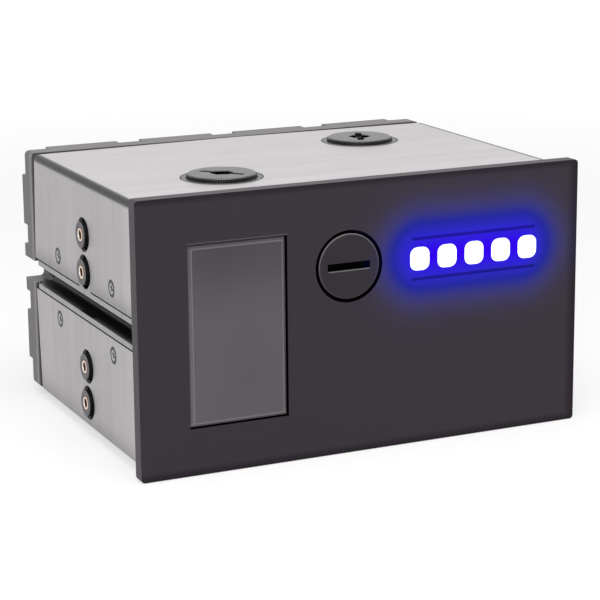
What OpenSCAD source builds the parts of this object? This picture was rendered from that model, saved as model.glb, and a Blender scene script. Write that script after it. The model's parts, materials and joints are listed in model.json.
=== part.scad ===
// Twin-bay coolant reservoir with a rear-mounted canned-motor pump.
// Millimetres, +Z up, the bezel faces -Y. The origin is on the ground, under the middle of the part.

/* [Bezel] */
// Width of the front bezel
bezel_w = 148; // [147:0.5:149]
// Height of one drive bay
bay_pitch = 42.3; // [42:0.1:42.6]
// Thickness of the front bezel
bezel_t = 4.8; // [4.6:0.1:5.2]
// Corner radius of the bezel seen from the front
bezel_corner_r = 1.2; // [0.6:0.1:2]

/* [Body] */
// Width over the two sheet-metal shells
body_w = 143.7; // [143:0.1:144.4]
// Height over the two sheet-metal shells
body_h = 79.8; // [79:0.1:80.4]
// Clearance between the bezel's lower edge and the underside of the body
body_lift = 2.6; // [2.2:0.1:3]
// Thickness of the sheet metal
shell_t = 1.2; // [1:0.1:1.4]
// Outer radius of the bends in the sheet metal
bend_r = 1.3; // [1.2:0.1:2]
// Depth from the bezel's face to the rear edge of the shells
shell_end = 101.7; // [100:0.1:102]
// How far the shells' rear corners are cut back
corner_cutback = 2.3; // [0:0.1:2.4]
// Wall thickness of the tank
wall = 3; // [2.5:0.1:3.4]
// Depth of the channel in each side, between the two bays
channel_depth = 6.2; // [5:0.1:9]
// Height of the channel
channel_h = 6.2; // [5:0.1:7]
// Thickness of the tank's lip on each side of the channel
lip_t = 1.65; // [1.4:0.05:2]

/* [Rear cover] */
// Thickness of the cover under the screw heads
cover_seat_t = 6.5; // [5.5:0.1:7.5]
// Height of the blocks between the screw heads
cover_block_t = 3.6; // [3:0.1:5]
// Width of the notch around each cover screw
notch_w = 8.4; // [6.6:0.1:9]
// Width of the notch around each cover screw beside a channel
side_notch_w = 6.8; // [6:0.1:7.4]
// Distance from the cover screws to the edge of the cover
cover_screw_edge = 4.3; // [4:0.1:5]
// How much higher and lower the channels run in the cover than in the tank
cover_channel_step = 0.6; // [0:0.1:1]
// Distance between cover screws along the top and bottom edges
cover_screw_pitch = 34.4; // [33:0.1:35]
// Height of the side screws above and below the middle of the cover
side_screw_rise = 11.4; // [11:0.1:13]

/* [Window and light] */
// Width of the window opening
window_w = 32; // [28:0.5:34]
// Height of the window opening
window_h = 55.7; // [48:0.1:58]
// Width of the bevel around the pane
pane_bevel = 1.3; // [0.8:0.1:2]
// Number of lit segments
segment_count = 5; // [3:1:5]
// Width of one lit segment
segment_w = 6.6; // [4:0.1:7]
// Height of one lit segment
segment_h = 7.2; // [5:0.1:8]
// Distance between lit segments
segment_pitch = 9.45; // [9:0.05:9.6]

/* [Ports and plugs] */
// Diameter of the front fill cap
cap_d = 20.2; // [18:0.1:20.4]
// Diameter of the hole in the bezel around the cap
cap_hole_d = 22.3; // [22.2:0.1:23]
// Diameter of the plugs in the top
plug_d = 21.5; // [19:0.1:21.8]
// Diameter of the raised collar around each top plug
collar_d = 25.2; // [24:0.1:26]
// Outer diameter of the plugs' pipe thread, G 1/4
pipe_thread_d = 12.9; // [12.7:0.05:12.95]
// Core diameter of the open G 1/4 threads in the rear cover
pipe_core_d = 11.8; // [11.4:0.1:11.9]

/* [Side mounts] */
// Distance from the bezel's rear face to the mounting holes
mount_setback = 47.4; // [47:0.1:48]
// Distance between the two mounting holes of one bay
mount_pitch = 11.84; // [11.8:0.02:11.9]
// Diameter of the recess around a rubber mount
mount_recess_d = 10.9; // [10:0.1:11]
// Width over the faces of the rubber mounts
mount_span = 146.05; // [145.5:0.05:146.4]

/* [Pump] */
// Height of the pump's axis
pump_z = 41; // [40.5:0.1:41.5]
// Diameter of the pump's can
can_d = 58; // [57.6:0.1:58.2]
// Length of the can behind the rear cover
can_l = 31; // [30:0.5:33]
// Diameter of the impeller
impeller_d = 41; // [36:0.5:42]
// Number of impeller blades
blade_count = 6; // [5:1:7]
// Number of stator poles
pole_count = 6; // [6:1:6]

/* [Hidden] */
$fn = 64;
eps = 0.05;

// Screws: one metric size throughout, with the thread drawn as a plain shank in a hole a little wider
m3_r = 1.5;
m3_tapped_r = 1.53;
m3_free_r = 1.7;
m3_core_r = 1.25;
head_r = 2.75;
head_h = 3;
drive_w = 0.7;
drive_l = 3.2;

// Depths, counted back from the bezel's face at depth 0
overall_depth = 150;
front_y = -overall_depth / 2;
bezel_h = 2 * bay_pitch;
tab_back = bezel_t + shell_t;
tank_front = tab_back + 0.2;
front_wall_t = 4;
tank_inner_front = tank_front + front_wall_t;
tank_end = 101.9;
lip_cutback = 2.8;
rim_l = 12;
gasket_t = 1;
cover_front = tank_end + gasket_t;
cover_seat = cover_front + cover_seat_t;
cover_back = cover_seat + cover_block_t;

// Heights
body_top = body_lift + body_h;
mid_z = body_lift + body_h / 2;
tank_gap = 0.15;
tank_half_w = body_w / 2 - shell_t - tank_gap;
tank_bottom = body_lift + shell_t + tank_gap;
tank_top = body_top - shell_t - tank_gap;
lip_outer_z = channel_h / 2 + lip_t;
shell_gap = 0.4;
channel_floor_x = body_w / 2 - channel_depth;
channel_corner_r = 1.4;
rim_half_w = channel_floor_x - wall;
front_lip_wall = 1.5;
rim_drop = 9;

// Window
window_x = -42.3;
window_z = 42.35;
pane_flange = 2.7;
pane_gap = 0.3;
pane_step = 2.6;
gasket_inset = 1;

// Lit segments and the grooves above and below them
light_x = 37.05;
light_z = 58.4;
segment_r = 2.4;
groove_rise = 6.3;
groove_l = 43.4;
groove_w = 1;
groove_depth = 0.5;
guide_front = 3;
guide_w = 47.4;
guide_h = 10.4;
board_w = 50;
board_h = 14;
board_front = 7;
board_t = 1;
board_screw_x = 22.8;

// Fill cap and its neck in the front wall of the tank
cap_x = -5.9;
cap_z = 58.55;
cap_head_t = 3.4;
neck_r = 10.9;
neck_front = 4.2;
seal_d = 1.8;
seal_ring_r = pipe_thread_d / 2 + seal_d / 2 + 0.05;
seal_seat_r = seal_ring_r + seal_d / 2;
thread_bore_r = pipe_thread_d / 2 + 0.08;
thread_l = 8;
coin_slot_w = 2.2;
coin_slot_l = 14.1;
coin_slot_depth = 1.3;

// Top plugs: x, depth and the way the slot points
left_port = [-32.4, 34.8, -49];
right_port = [35.2, 75.9, 68.5];
port_boss_drop = 10.4;
plug_rise = 1.4;
plug_head_t = 2.4;
plug_recess_r = plug_d / 2 + 0.35;
plug_slot_l = 15;
plug_slot_w = 2.1;
hex_af = 6.5;
hex_depth = 2;

// Side mounts
mount_y = bezel_t + mount_setback;
mount_heights = [10.7, 10.7 + mount_pitch, 10.7 + bay_pitch, 10.7 + bay_pitch + mount_pitch];
grommet_neck_r = 4.25;
grommet_base_r = 5.2;
grommet_base_t = 2.4;
grommet_back_x = 66.4;
insert_r = 2.15;
insert_thread_l = 5.4;
mount_block_w = 8.5;
notch_gap = 0.2;

// Countersunk shell screws
shell_screw_y = [27.7, 78];
shell_screw_rise = 10.4;
shell_screw_head_r = 2.75;
shell_screw_head_t = 1.65;
shell_screw_l = 7;
screw_margin = 4.2;

// Tabs that hold the shells to the bezel
tab_inner_x = 62;
tab_screw_x = 66.3;
tab_h = 12;
tab_rise = 29.5;
tab_screw_l = 5;
pan_head_t = 1.8;

// Pump, from front to back
volute_r = 24;
volute_front = 100;
boss_r = 28;
boss_front = 93.3;
inlet_r = 7;
flange_t = 3;
flange_r = 30.9;
flange_front = cover_back - flange_t;
port_x = 52;
port_rise = 18;
passage_depth = 100.5;
passage_r = 4.5;
port_throat_r = 5;
port_face_r = 8.5;
port_face_depth = 0.5;
seal_groove_r = 26.2;
cup_flange_r = 28.5;
cup_flange_t = 1.2;
cup_r = 17.8;
cup_wall = 0.8;
cup_end = 125;
ball_r = 2.5;
ball_y = 114.5;
post_r = 2;
can_wall = 2.5;
can_back = cover_back + can_l;
clamp_r = 38;
clamp_t = 4.5;
clamp_screw_pcd = 68;
clamp_screw_count = 6;
impeller_back = 109;
shroud_t = 1.4;
blade_front = 102.8;
blade_t = 1.3;
blade_r = 16;
blade_inset = 0.4;
eye_r = 7;
hub_r = 6;
bearing_r = 4;
magnet_front = 110.3;
magnet_back = 122;
magnet_r = 16.5;
glue_gap = 0.03;
stator_front = 113.5;
stator_back = 124;
stator_r = can_d / 2 - can_wall;
tooth_w = 5;
driver_y = 132;
driver_r = 25.5;
driver_t = 1.6;
driver_post_ring_r = 20;
dial_drop = 14;
dial_r = 4;
gland_x = 12;
gland_rise = 14;
gland_thread_r = 4;
cable_hole_r = 2.7;
gland_l = overall_depth - can_back;

cover_screws_xz = concat(
    [for (side = [-1, 1], column = [-1, 0, 1]) [column * cover_screw_pitch, side * (body_h / 2 - cover_screw_edge)]],
    [for (side = [-1, 1], end = [-1, 1]) [side * (body_w / 2 - cover_screw_edge), end * (body_h / 2 - cover_screw_edge)]],
    [for (side = [-1, 1], end = [-1, 1]) [side * (body_w / 2 - cover_screw_edge), end * side_screw_rise]]
);

// ---------------------------------------------------------------- helpers

// Extrudes a front-view outline, drawn in x and z, between two depths
module between(near, far) {
    translate([0, front_y + far, 0]) rotate([90, 0, 0]) linear_extrude(far - near) children();
}

// A round bar along the depth, from one depth to another
module bar(x, z, r, near, far) {
    between(near, far) translate([x, z]) circle(r);
}

// A round bar along the width, from one x to another
module cross_bar(x_from, x_to, depth, z, r) {
    low = min(x_from, x_to);
    translate([low, front_y + depth, z]) rotate([0, 90, 0]) cylinder(r = r, h = abs(x_to - x_from));
}

// Spins a profile of [radius, depth] points about an axis along the depth
module turned(x, z, points) {
    translate([x, front_y, z]) rotate([-90, 0, 0]) rotate_extrude() polygon(points);
}

// A ring of round section lying square to the depth
module depth_ring(x, z, ring_r, section_d, depth) {
    translate([x, front_y + depth, z]) rotate([90, 0, 0])
        rotate_extrude() translate([ring_r, 0]) circle(d = section_d, $fn = 32);
}

// A rectangle given by its middle
module plate(x, z, w, h) {
    translate([x - w / 2, z - h / 2]) square([w, h]);
}

// A rectangle with round corners, given by its middle
module round_plate(x, z, w, h, r) {
    plate(x, z, w - 2 * r, h);
    plate(x, z, w, h - 2 * r);
    for (sx = [-1, 1], sz = [-1, 1])
        translate([x + sx * (w / 2 - r), z + sz * (h / 2 - r)]) circle(r, $fn = 48);
}

// The two channels between the bays, as notches in a front-view outline
module channel_notches(inner_x, half_h) {
    for (side = [-1, 1])
        round_plate(side * (inner_x + body_w / 2), mid_z, body_w, 2 * half_h, channel_corner_r);
}

// A hexagonal driver recess in the face of a cap screw that looks backwards
module hex_drive(x, z, back, af, deep) {
    between(back - deep, back + eps) translate([x, z]) circle(r = af / sqrt(3), $fn = 6);
}

// A cap screw that is driven from behind: its head sits on a seat and its shank points forwards
module cap_screw(x, z, seat, shank_l) {
    difference() {
        union() {
            bar(x, z, head_r, seat, seat + head_h);
            bar(x, z, m3_r, seat - shank_l, seat + eps);
        }
        hex_drive(x, z, seat + head_h, 2.5, 1.5);
    }
}

// ---------------------------------------------------------------- front

module segments(grow) {
    for (i = [0 : segment_count - 1])
        round_plate(light_x + (i - (segment_count - 1) / 2) * segment_pitch, light_z,
            segment_w + grow, segment_h + grow, segment_r + grow / 2);
}

module front_bezel() {
    color([0.13, 0.12, 0.13]) difference() {
        between(0, bezel_t) round_plate(0, bezel_h / 2, bezel_w, bezel_h, bezel_corner_r);
        between(-eps, bezel_t + eps) plate(window_x, window_z, window_w, window_h);
        between(pane_step, bezel_t + eps)
            plate(window_x, window_z, window_w + 2 * pane_flange + 0.6, window_h + 2 * pane_flange + 0.6);
        bar(cap_x, cap_z, cap_hole_d / 2, -eps, bezel_t + eps);
        between(-eps, guide_front + eps) segments(0.2);
        between(guide_front, bezel_t + eps) plate(light_x, light_z, guide_w + 0.6, guide_h + 0.6);
        for (side = [-1, 1])
            between(-eps, groove_depth)
                round_plate(light_x, light_z + side * groove_rise, groove_l, groove_w, 0.45);
        for (sx = [-1, 1], sz = [-1, 1])
            bar(sx * tab_screw_x, mid_z + sz * tab_rise, m3_tapped_r, bezel_t - 3.4, bezel_t + eps);
    }
}

// The pane steps back to a flange all round, and its face has a bevelled border
module window_pane() {
    half_w = window_w / 2 - pane_gap;
    half_h = window_h / 2 - pane_gap;
    bevel_back = 0.9;
    face = 0.15;
    color([0.4, 0.39, 0.4, 0.7]) {
        difference() {
            union() {
                between(face, pane_step) plate(window_x, window_z, 2 * half_w, 2 * half_h);
                between(pane_step, bezel_t + 0.2)
                    plate(window_x, window_z, window_w + 2 * pane_flange, window_h + 2 * pane_flange);
            }
            for (side = [-1, 1]) {
                translate([window_x + side * half_w, front_y + face, 0]) linear_extrude(bezel_h)
                    polygon([[-side * pane_bevel, 0], [side, -1], [side, bevel_back], [0, bevel_back]]);
                translate([window_x - body_w / 2, front_y + face, window_z + side * half_h])
                    rotate([90, 0, 90]) linear_extrude(body_w)
                        polygon([[0, -side * pane_bevel], [-1, side], [bevel_back, side], [bevel_back, 0]]);
            }
        }
    }
}

module window_gasket() {
    color([0.06, 0.06, 0.06]) between(bezel_t + 0.2, tank_front) difference() {
        plate(window_x, window_z, window_w + 2 * pane_flange, window_h + 2 * pane_flange);
        plate(window_x, window_z, window_w - 2 * gasket_inset, window_h - 2 * gasket_inset);
    }
}

module light_guide() {
    color([0.92, 0.94, 1]) {
        between(guide_front, bezel_t) plate(light_x, light_z, guide_w, guide_h);
        between(0.05, guide_front + eps) segments(0);
    }
}

module led_board() {
    color([0.05, 0.3, 0.15]) difference() {
        between(board_front, board_front + board_t) plate(light_x, light_z, board_w, board_h);
        for (side = [-1, 1])
            bar(light_x + side * board_screw_x, light_z, 1.1, 0, tank_front + front_wall_t);
    }
}

module led_chips() {
    chip_w = 3.5;
    chip_h = 2.8;
    chip_t = 1.2;
    color([0.95, 0.93, 0.7]) for (i = [0 : segment_count - 1])
        between(board_front - chip_t, board_front)
            plate(light_x + (i - (segment_count - 1) / 2) * segment_pitch, light_z, chip_w, chip_h);
}

// Two-pin header for the light's supply lead
module led_header() {
    header_w = 6;
    header_h = 2.6;
    header_t = 1.7;
    pin_w = 0.6;
    header_z = light_z - board_h / 2 + header_h / 2 + 0.6;
    color([0.95, 0.95, 0.9]) difference() {
        between(board_front - header_t, board_front) plate(light_x, header_z, header_w, header_h);
        for (side = [-1, 1])
            between(board_front - header_t - eps, board_front - 0.5)
                plate(light_x + side * header_w / 4, header_z, header_w / 2 - 1, header_h - 1);
    }
}

module led_board_screws() {
    color([0.75, 0.75, 0.77]) for (side = [-1, 1]) {
        difference() {
            union() {
                bar(light_x + side * board_screw_x, light_z, 1.7, board_front - 0.8, board_front);
                bar(light_x + side * board_screw_x, light_z, 0.9, board_front - eps, board_front + 2.6);
            }
            between(0, board_front - 0.4) plate(light_x + side * board_screw_x, light_z, 2.4, 0.5);
        }
    }
}

// Pan-head screws that pull the shells' tabs against the back of the bezel
module bezel_screws() {
    color([0.7, 0.7, 0.72]) for (sx = [-1, 1], sz = [-1, 1]) difference() {
        union() {
            bar(sx * tab_screw_x, mid_z + sz * tab_rise, head_r, tab_back, tab_back + pan_head_t);
            bar(sx * tab_screw_x, mid_z + sz * tab_rise, m3_r, tab_back - tab_screw_l + 0.8, tab_back + eps);
        }
        between(tab_back + 0.8, tab_back + pan_head_t + eps) {
            plate(sx * tab_screw_x, mid_z + sz * tab_rise, drive_l, drive_w);
            plate(sx * tab_screw_x, mid_z + sz * tab_rise, drive_w, drive_l);
        }
    }
}

// ---------------------------------------------------------------- plugs

// The cap's head fills the hole in the bezel, and its thread screws into the neck of the tank
module fill_cap() {
    color([0.14, 0.13, 0.14]) difference() {
        union() {
            bar(cap_x, cap_z, cap_d / 2, 0, cap_head_t);
            bar(cap_x, cap_z, pipe_thread_d / 2, cap_head_t - eps, cap_head_t + thread_l);
        }
        between(-eps, coin_slot_depth) plate(cap_x, cap_z, coin_slot_l, coin_slot_w);
        bar(cap_x, cap_z, pipe_thread_d / 2 - 1.6, cap_head_t + 1, cap_head_t + thread_l + eps);
    }
}

module fill_cap_seal() {
    color([0.04, 0.04, 0.04]) depth_ring(cap_x, cap_z, seal_ring_r, seal_d, cap_head_t + seal_d / 2);
}

// A top plug: knurled head with a coin slot and a hexagonal socket, over a hollow thread
module port_plug(port) {
    top = body_top + plug_rise;
    color([0.3, 0.3, 0.31]) translate([port[0], front_y + port[1], 0]) difference() {
        union() {
            translate([0, 0, top - 0.4]) cylinder(r1 = plug_d / 2, r2 = plug_d / 2 - 0.4, h = 0.4);
            translate([0, 0, top - plug_head_t]) cylinder(r = plug_d / 2, h = plug_head_t - 0.4);
            translate([0, 0, top - plug_head_t - thread_l]) cylinder(d = pipe_thread_d, h = thread_l + eps);
        }
        translate([0, 0, top - 1.1]) rotate(port[2])
            translate([-plug_slot_l / 2, -plug_slot_w / 2, 0]) cube([plug_slot_l, plug_slot_w, 2]);
        translate([0, 0, top - hex_depth]) rotate(port[2] + 30)
            cylinder(r = hex_af / sqrt(3), h = hex_depth + 1, $fn = 6);
        translate([0, 0, top - plug_head_t - thread_l - eps])
            cylinder(r = pipe_thread_d / 2 - 1.6, h = thread_l - 1);
    }
}

module port_seal(port) {
    color([0.04, 0.04, 0.04])
        translate([port[0], front_y + port[1], body_top + plug_rise - plug_head_t - seal_d / 2])
            rotate_extrude() translate([seal_ring_r, 0]) circle(d = seal_d, $fn = 32);
}

// ---------------------------------------------------------------- shells

// A channel section of bent sheet, open towards the middle of the body. Drawn for the upper half.
module shell_section() {
    half_w = body_w / 2;
    open_z = mid_z + lip_outer_z + shell_gap;
    difference() {
        union() {
            translate([-half_w, open_z]) square([body_w, body_top - bend_r - open_z]);
            translate([-half_w + bend_r, open_z]) square([body_w - 2 * bend_r, body_top - open_z]);
            for (side = [-1, 1])
                translate([side * (half_w - bend_r), body_top - bend_r]) circle(bend_r, $fn = 48);
        }
        translate([-half_w + shell_t, open_z - 1]) square([body_w - 2 * shell_t, body_top - shell_t - open_z + 1]);
    }
}

// One shell, drawn for the upper half: bent sheet, front tabs, slanting rear edge and holes
module shell_half() {
    half_w = body_w / 2;
    difference() {
        union() {
            between(bezel_t, shell_end) shell_section();
            for (side = [-1, 1])
                between(bezel_t, tab_back)
                    plate(side * (tab_inner_x + half_w - eps) / 2, mid_z + tab_rise,
                        half_w - eps - tab_inner_x, tab_h);
        }
        for (side = [-1, 1])
            translate([side * half_w - shell_t, front_y + shell_end, 0]) rotate([90, 0, 90])
                linear_extrude(2 * shell_t)
                    polygon([[0, mid_z + lip_outer_z], [1, body_top], [-corner_cutback, body_top]]);
        translate([0, front_y + shell_end, body_top - shell_t]) linear_extrude(2 * shell_t)
            for (side = [-1, 1])
                polygon([[0, 0], [0, 1], [side * half_w, 1], [side * half_w, -corner_cutback]]);
        for (side = [-1, 1])
            bar(side * tab_screw_x, mid_z + tab_rise, m3_free_r, 0, tank_front);
        for (side = [-1, 1], depth = shell_screw_y)
            countersink(side, depth, mid_z + shell_screw_rise);
    }
}

// The recess for one countersunk screw in the side of the body
module countersink(side, depth, z) {
    face = side * body_w / 2;
    translate([face, front_y + depth, z]) rotate([0, -side * 90, 0]) {
        translate([0, 0, -eps]) cylinder(r1 = shell_screw_head_r + 0.1, r2 = m3_tapped_r, h = shell_screw_head_t + 0.1);
        cylinder(r = m3_tapped_r, h = shell_screw_l + 0.4);
    }
}

module mount_recesses(grow) {
    for (side = [-1, 1], z = mount_heights)
        cross_bar(side * grommet_back_x, side * body_w, mount_y, z, mount_recess_d / 2 + grow);
}

// Under the mount nearest to the channel the shell is notched out to its edge, and the tank fills the notch
module edge_notches(inner_x, outer_x, gap) {
    half_w = mount_recess_d / 2 - gap;
    low = mid_z + lip_outer_z - eps;
    for (side = [-1, 1])
        between(mount_y - half_w, mount_y + half_w)
            plate(side * (inner_x + outer_x) / 2, (low + mount_heights[2]) / 2,
                outer_x - inner_x, mount_heights[2] - low);
}

module upper_shell() {
    color([0.72, 0.71, 0.72]) difference() {
        shell_half();
        mount_recesses(0);
        edge_notches(tank_half_w, body_w / 2 + 1, 0);
        for (port = [left_port, right_port])
            translate([port[0], front_y + port[1], body_top - 5]) cylinder(r = collar_d / 2 + 0.2, h = 10);
    }
}

module lower_shell() {
    color([0.7, 0.69, 0.7]) difference() {
        translate([0, 0, 2 * mid_z]) mirror([0, 0, 1]) shell_half();
        mount_recesses(0);
    }
}

module shell_screws(side) {
    color([0.35, 0.35, 0.37]) for (depth = shell_screw_y, rise = [-1, 1])
        translate([side * body_w / 2, front_y + depth, mid_z + rise * shell_screw_rise]) rotate([0, -side * 90, 0])
            difference() {
                union() {
                    cylinder(r1 = shell_screw_head_r, r2 = m3_r, h = shell_screw_head_t);
                    cylinder(r = m3_r, h = shell_screw_l);
                }
                for (turn = [0, 90])
                    rotate(turn + 20) translate([-drive_l / 2, -drive_w / 2, -eps]) cube([drive_l, drive_w, 1.1]);
            }
}

// ---------------------------------------------------------------- rubber mounts

module mount_grommets(side) {
    color([0.07, 0.07, 0.07]) for (z = mount_heights) difference() {
        union() {
            cross_bar(side * grommet_back_x, side * (grommet_back_x + grommet_base_t), mount_y, z, grommet_base_r);
            cross_bar(side * grommet_back_x, side * mount_span / 2, mount_y, z, grommet_neck_r);
        }
        cross_bar(side * (grommet_back_x + 0.6), side * (mount_span / 2 + 1), mount_y, z, insert_r);
    }
}

module mount_inserts(side) {
    color([0.85, 0.75, 0.65]) for (z = mount_heights) difference() {
        cross_bar(side * (grommet_back_x + 0.6), side * mount_span / 2, mount_y, z, insert_r);
        cross_bar(side * (mount_span / 2 - insert_thread_l), side * (mount_span / 2 + 1), mount_y, z, m3_core_r);
    }
}

// ---------------------------------------------------------------- tank

module tank_outline() {
    difference() {
        translate([-tank_half_w, tank_bottom]) square([2 * tank_half_w, tank_top - tank_bottom]);
        channel_notches(channel_floor_x, channel_h / 2);
    }
}

// The lips beside the channels, which stand out through the shells
module lips(inner_x) {
    difference() {
        plate(0, mid_z, body_w, 2 * lip_outer_z);
        plate(0, mid_z, 2 * inner_x, 3 * lip_outer_z);
        channel_notches(channel_floor_x, channel_h / 2);
    }
}

// The hollow keeps a thick rib over and under each channel, which the side screws go into
module tank_inside() {
    difference() {
        plate(0, mid_z, 2 * (tank_half_w - wall), tank_top - tank_bottom - 2 * wall);
        channel_notches(rim_half_w, shell_screw_rise + screw_margin);
    }
}

module rim_opening() {
    plate(0, mid_z, 2 * rim_half_w, tank_top - tank_bottom - 2 * rim_drop);
}

// Round bosses under the ports in the top, up to the level of the shell
module port_bosses() {
    for (port = [left_port, right_port])
        translate([port[0], front_y + port[1], body_top - port_boss_drop])
            cylinder(d = collar_d, h = port_boss_drop);
}

module port_bores() {
    for (port = [left_port, right_port]) translate([port[0], front_y + port[1], 0]) {
        translate([0, 0, tank_top - 15]) cylinder(r = thread_bore_r, h = 30);
        translate([0, 0, body_top + plug_rise - plug_head_t]) cylinder(r = plug_recess_r, h = 10);
        translate([0, 0, body_top + plug_rise - plug_head_t - seal_d]) cylinder(r = seal_seat_r, h = 10);
    }
}

module tank_walls() {
    difference() {
        between(tank_front, tank_end) tank_outline();
        between(tank_inner_front, tank_end - rim_l) tank_inside();
        between(tank_end - rim_l - eps, tank_end + eps) rim_opening();
    }
    intersection() {
        between(tank_front, tank_end) tank_outline();
        for (side = [-1, 1], z = [mount_heights[0] + mount_pitch / 2, mount_heights[2] + mount_pitch / 2])
            between(mount_y - mount_block_w, mount_y + mount_block_w)
                plate(side * (tank_half_w - mount_block_w / 2), z, mount_block_w, mount_pitch + 14);
    }
    edge_notches(tank_half_w - eps, body_w / 2, notch_gap);
    between(bezel_t, tank_front + eps) lips(channel_floor_x - front_lip_wall);
    between(tank_front, tank_end - lip_cutback) lips(tank_half_w - eps);
    bar(cap_x, cap_z, neck_r, neck_front, tank_inner_front + 2);
    port_bosses();
}

module tank_body() {
    color([0.1, 0.1, 0.11]) difference() {
        tank_walls();
        between(0, tank_inner_front + 1)
            plate(window_x, window_z, window_w - 2 * gasket_inset, window_h - 2 * gasket_inset);
        bar(cap_x, cap_z, thread_bore_r, 0, tank_inner_front + 10);
        bar(cap_x, cap_z, seal_seat_r, 0, cap_head_t + seal_d);
        port_bores();
        between(0, board_front + board_t) plate(light_x, light_z, board_w + 1, board_h + 1);
        for (side = [-1, 1])
            bar(light_x + side * board_screw_x, light_z, 0.93, 0, board_front + 2.8);
        for (sx = [-1, 1], sz = [-1, 1])
            bar(sx * tab_screw_x, mid_z + sz * tab_rise, head_r + 0.5, 0, tab_back + pan_head_t + 0.3);
        mount_recesses(0);
        for (side = [-1, 1], depth = shell_screw_y, rise = [-1, 1])
            countersink(side, depth, mid_z + rise * shell_screw_rise);
        for (spot = cover_screws_xz)
            bar(spot[0], mid_z + spot[1], m3_tapped_r, tank_end - 8, tank_end + eps);
    }
}

// ---------------------------------------------------------------- rear

module cover_outline(r) {
    difference() {
        round_plate(0, mid_z, body_w, body_h, r);
        channel_notches(channel_floor_x, channel_h / 2 + cover_channel_step);
    }
}

// The open seat around one cover screw, running out through the nearest edge or edges
module screw_seat(spot) {
    x = spot[0];
    z = mid_z + spot[1];
    past_x = abs(x) > body_w / 2 - notch_w ? sign(x) : 0;
    past_z = abs(spot[1]) > body_h / 2 - notch_w ? sign(spot[1]) : 0;
    w = past_z == 0 ? side_notch_w : notch_w;
    translate([x, z]) circle(w / 2);
    plate(x + past_x * w / 2, z + past_z * w / 2, w + abs(past_x) * w - (past_x == 0 ? 0 : 0.02), w * (past_z == 0 ? 1 : 2));
}

module rear_cover() {
    color([0.28, 0.28, 0.29]) difference() {
        union() {
            between(cover_front, cover_back) cover_outline(1.5);
            bar(0, pump_z, boss_r, boss_front, cover_front + eps);
            between(passage_depth - passage_r - 2.2, cover_front + eps)
                plate(rim_half_w / 2 - 0.4, pump_z + port_rise, rim_half_w - 0.4, 2 * passage_r + 5);
        }
        for (spot = cover_screws_xz) {
            between(cover_seat, cover_back + eps) screw_seat(spot);
            bar(spot[0], mid_z + spot[1], m3_free_r, cover_front - eps, cover_back);
        }
        bar(0, pump_z, volute_r, volute_front, cover_back + eps);
        bar(0, pump_z, inlet_r, boss_front - eps, volute_front + eps);
        bar(0, pump_z, flange_r + 0.2, flange_front, cover_back + eps);
        turned(0, pump_z, [
            [seal_groove_r - 1, flange_front - seal_d], [seal_groove_r + 1, flange_front - seal_d],
            [seal_groove_r + 1, flange_front + eps], [seal_groove_r - 1, flange_front + eps]
        ]);
        cross_bar(0, port_x, passage_depth, pump_z + port_rise, passage_r);
        bar(port_x, pump_z + port_rise, port_throat_r, passage_depth, cover_back);
        bar(-port_x, pump_z + port_rise, port_throat_r, cover_front - eps, cover_back);
        for (side = [-1, 1]) {
            bar(side * port_x, pump_z + port_rise, pipe_core_d / 2, passage_depth + passage_r, cover_back + eps);
            bar(side * port_x, pump_z + port_rise, port_face_r, cover_back - port_face_depth, cover_back + eps);
        }
        clamp_screw_spots() bar(0, pump_z, m3_tapped_r, cover_back - 8, cover_back + eps);
    }
}

module cover_gasket() {
    color([0.03, 0.03, 0.03]) between(tank_end, cover_front) difference() {
        plate(0, mid_z, 2 * tank_half_w, tank_top - tank_bottom);
        channel_notches(channel_floor_x - 0.3, channel_h / 2 + cover_channel_step);
        rim_opening();
        for (spot = cover_screws_xz) translate([spot[0], mid_z + spot[1]]) circle(m3_free_r);
    }
}

module cover_screws() {
    color([0.2, 0.2, 0.21]) for (spot = cover_screws_xz)
        cap_screw(spot[0], mid_z + spot[1], cover_seat, cover_seat_t + gasket_t + 7);
}

// A ring with a cross in it that stops the coolant from swirling as the pump draws it in
module inlet_baffle() {
    near = boss_front + 1;
    far = volute_front - 1;
    color([0.8, 0.8, 0.82]) between(near, far) {
        difference() {
            translate([0, pump_z]) circle(inlet_r);
            translate([0, pump_z]) circle(inlet_r - 1);
        }
        intersection() {
            translate([0, pump_z]) circle(inlet_r - 0.5);
            union() {
                plate(0, pump_z, 2 * inlet_r, 1);
                plate(0, pump_z, 1, 2 * inlet_r);
            }
        }
    }
}

// ---------------------------------------------------------------- pump

module pump_seal() {
    color([0.04, 0.04, 0.04]) depth_ring(0, pump_z, seal_groove_r, seal_d, flange_front - seal_d / 2);
}

module pump_housing() {
    inner = can_d / 2 - can_wall;
    color([0.12, 0.12, 0.13]) {
        difference() {
            turned(0, pump_z, [
                [0, can_back], [can_d / 2 - 1.5, can_back], [can_d / 2, can_back - 1.5],
                [can_d / 2, cover_back], [flange_r, cover_back], [flange_r, flange_front],
                [cup_flange_r + 0.1, flange_front], [cup_flange_r + 0.1, flange_front + cup_flange_t],
                [inner, flange_front + cup_flange_t], [inner, can_back - can_wall], [0, can_back - can_wall]
            ]);
            bar(0, pump_z - dial_drop, dial_r + 0.06, can_back - can_wall - eps, can_back + eps);
            bar(gland_x, pump_z + gland_rise, gland_thread_r + 0.05, can_back - can_wall - eps, can_back + eps);
        }
        for (i = [0 : 2])
            bar(driver_post_ring_r * sin(i * 120), pump_z + driver_post_ring_r * cos(i * 120), 2,
                driver_y + driver_t, can_back - can_wall + eps);
    }
}

// Moves what is drawn on the pump's axis to each screw of the clamp ring
module clamp_screw_spots() {
    for (i = [0 : clamp_screw_count - 1]) {
        turn = (i + 0.5) * 360 / clamp_screw_count;
        translate([clamp_screw_pcd / 2 * sin(turn), 0, clamp_screw_pcd / 2 * cos(turn)]) children();
    }
}

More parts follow.
